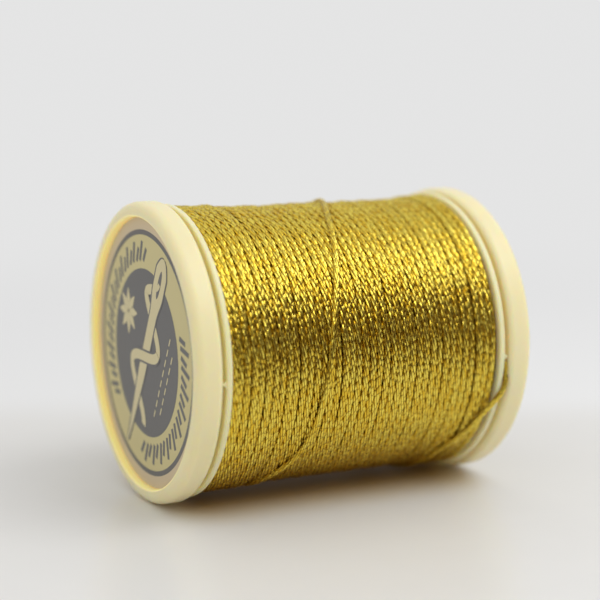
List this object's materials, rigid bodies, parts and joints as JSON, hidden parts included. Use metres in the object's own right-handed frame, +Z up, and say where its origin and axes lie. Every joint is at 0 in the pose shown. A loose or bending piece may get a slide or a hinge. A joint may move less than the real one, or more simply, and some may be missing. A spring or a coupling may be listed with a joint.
{
  "type": "spool of thread",
  "caption": "Cream plastic thread spool with snap-open end caps, wound with twisted gold metallic thread, with a printed end label and a thread-catch groove.",
  "frame": {"origin": "middle of the spool, on the winding axis, halfway between the two end faces", "axes": "+X along the winding axis from the labelled front cap to the rear cap, +Z up with the spool lying on its rims"},
  "size_m": [0.0366, 0.03, 0.03],
  "materials": {
    "spool_plastic": "satin, slightly translucent cream moulding",
    "label_paper": "matt silver-taupe printed paper with slate-grey rings",
    "gold_thread": "twisted metallic gold filament, bright specks and dark gaps"
  },
  "bodies": {
    "spool_core": {"spool_core": "spool_plastic", "thread_winding": "gold_thread", "thread_last_wrap": "gold_thread", "thread_tail": "gold_thread"},
    "front_cap": {"front_cap": "spool_plastic", "front_label": "label_paper"},
    "rear_cap": {"rear_cap": "spool_plastic", "rear_label": "label_paper"}
  },
  "joints": [
    {"name": "front_cap_snap", "type": "slide", "parent": "spool_core", "child": "front_cap", "axis": [-1, 0, 0], "range_m": [0, 0.0012]},
    {"name": "rear_cap_snap", "type": "slide", "parent": "spool_core", "child": "rear_cap", "axis": [1, 0, 0], "range_m": [0, 0.0012]}
  ]
}
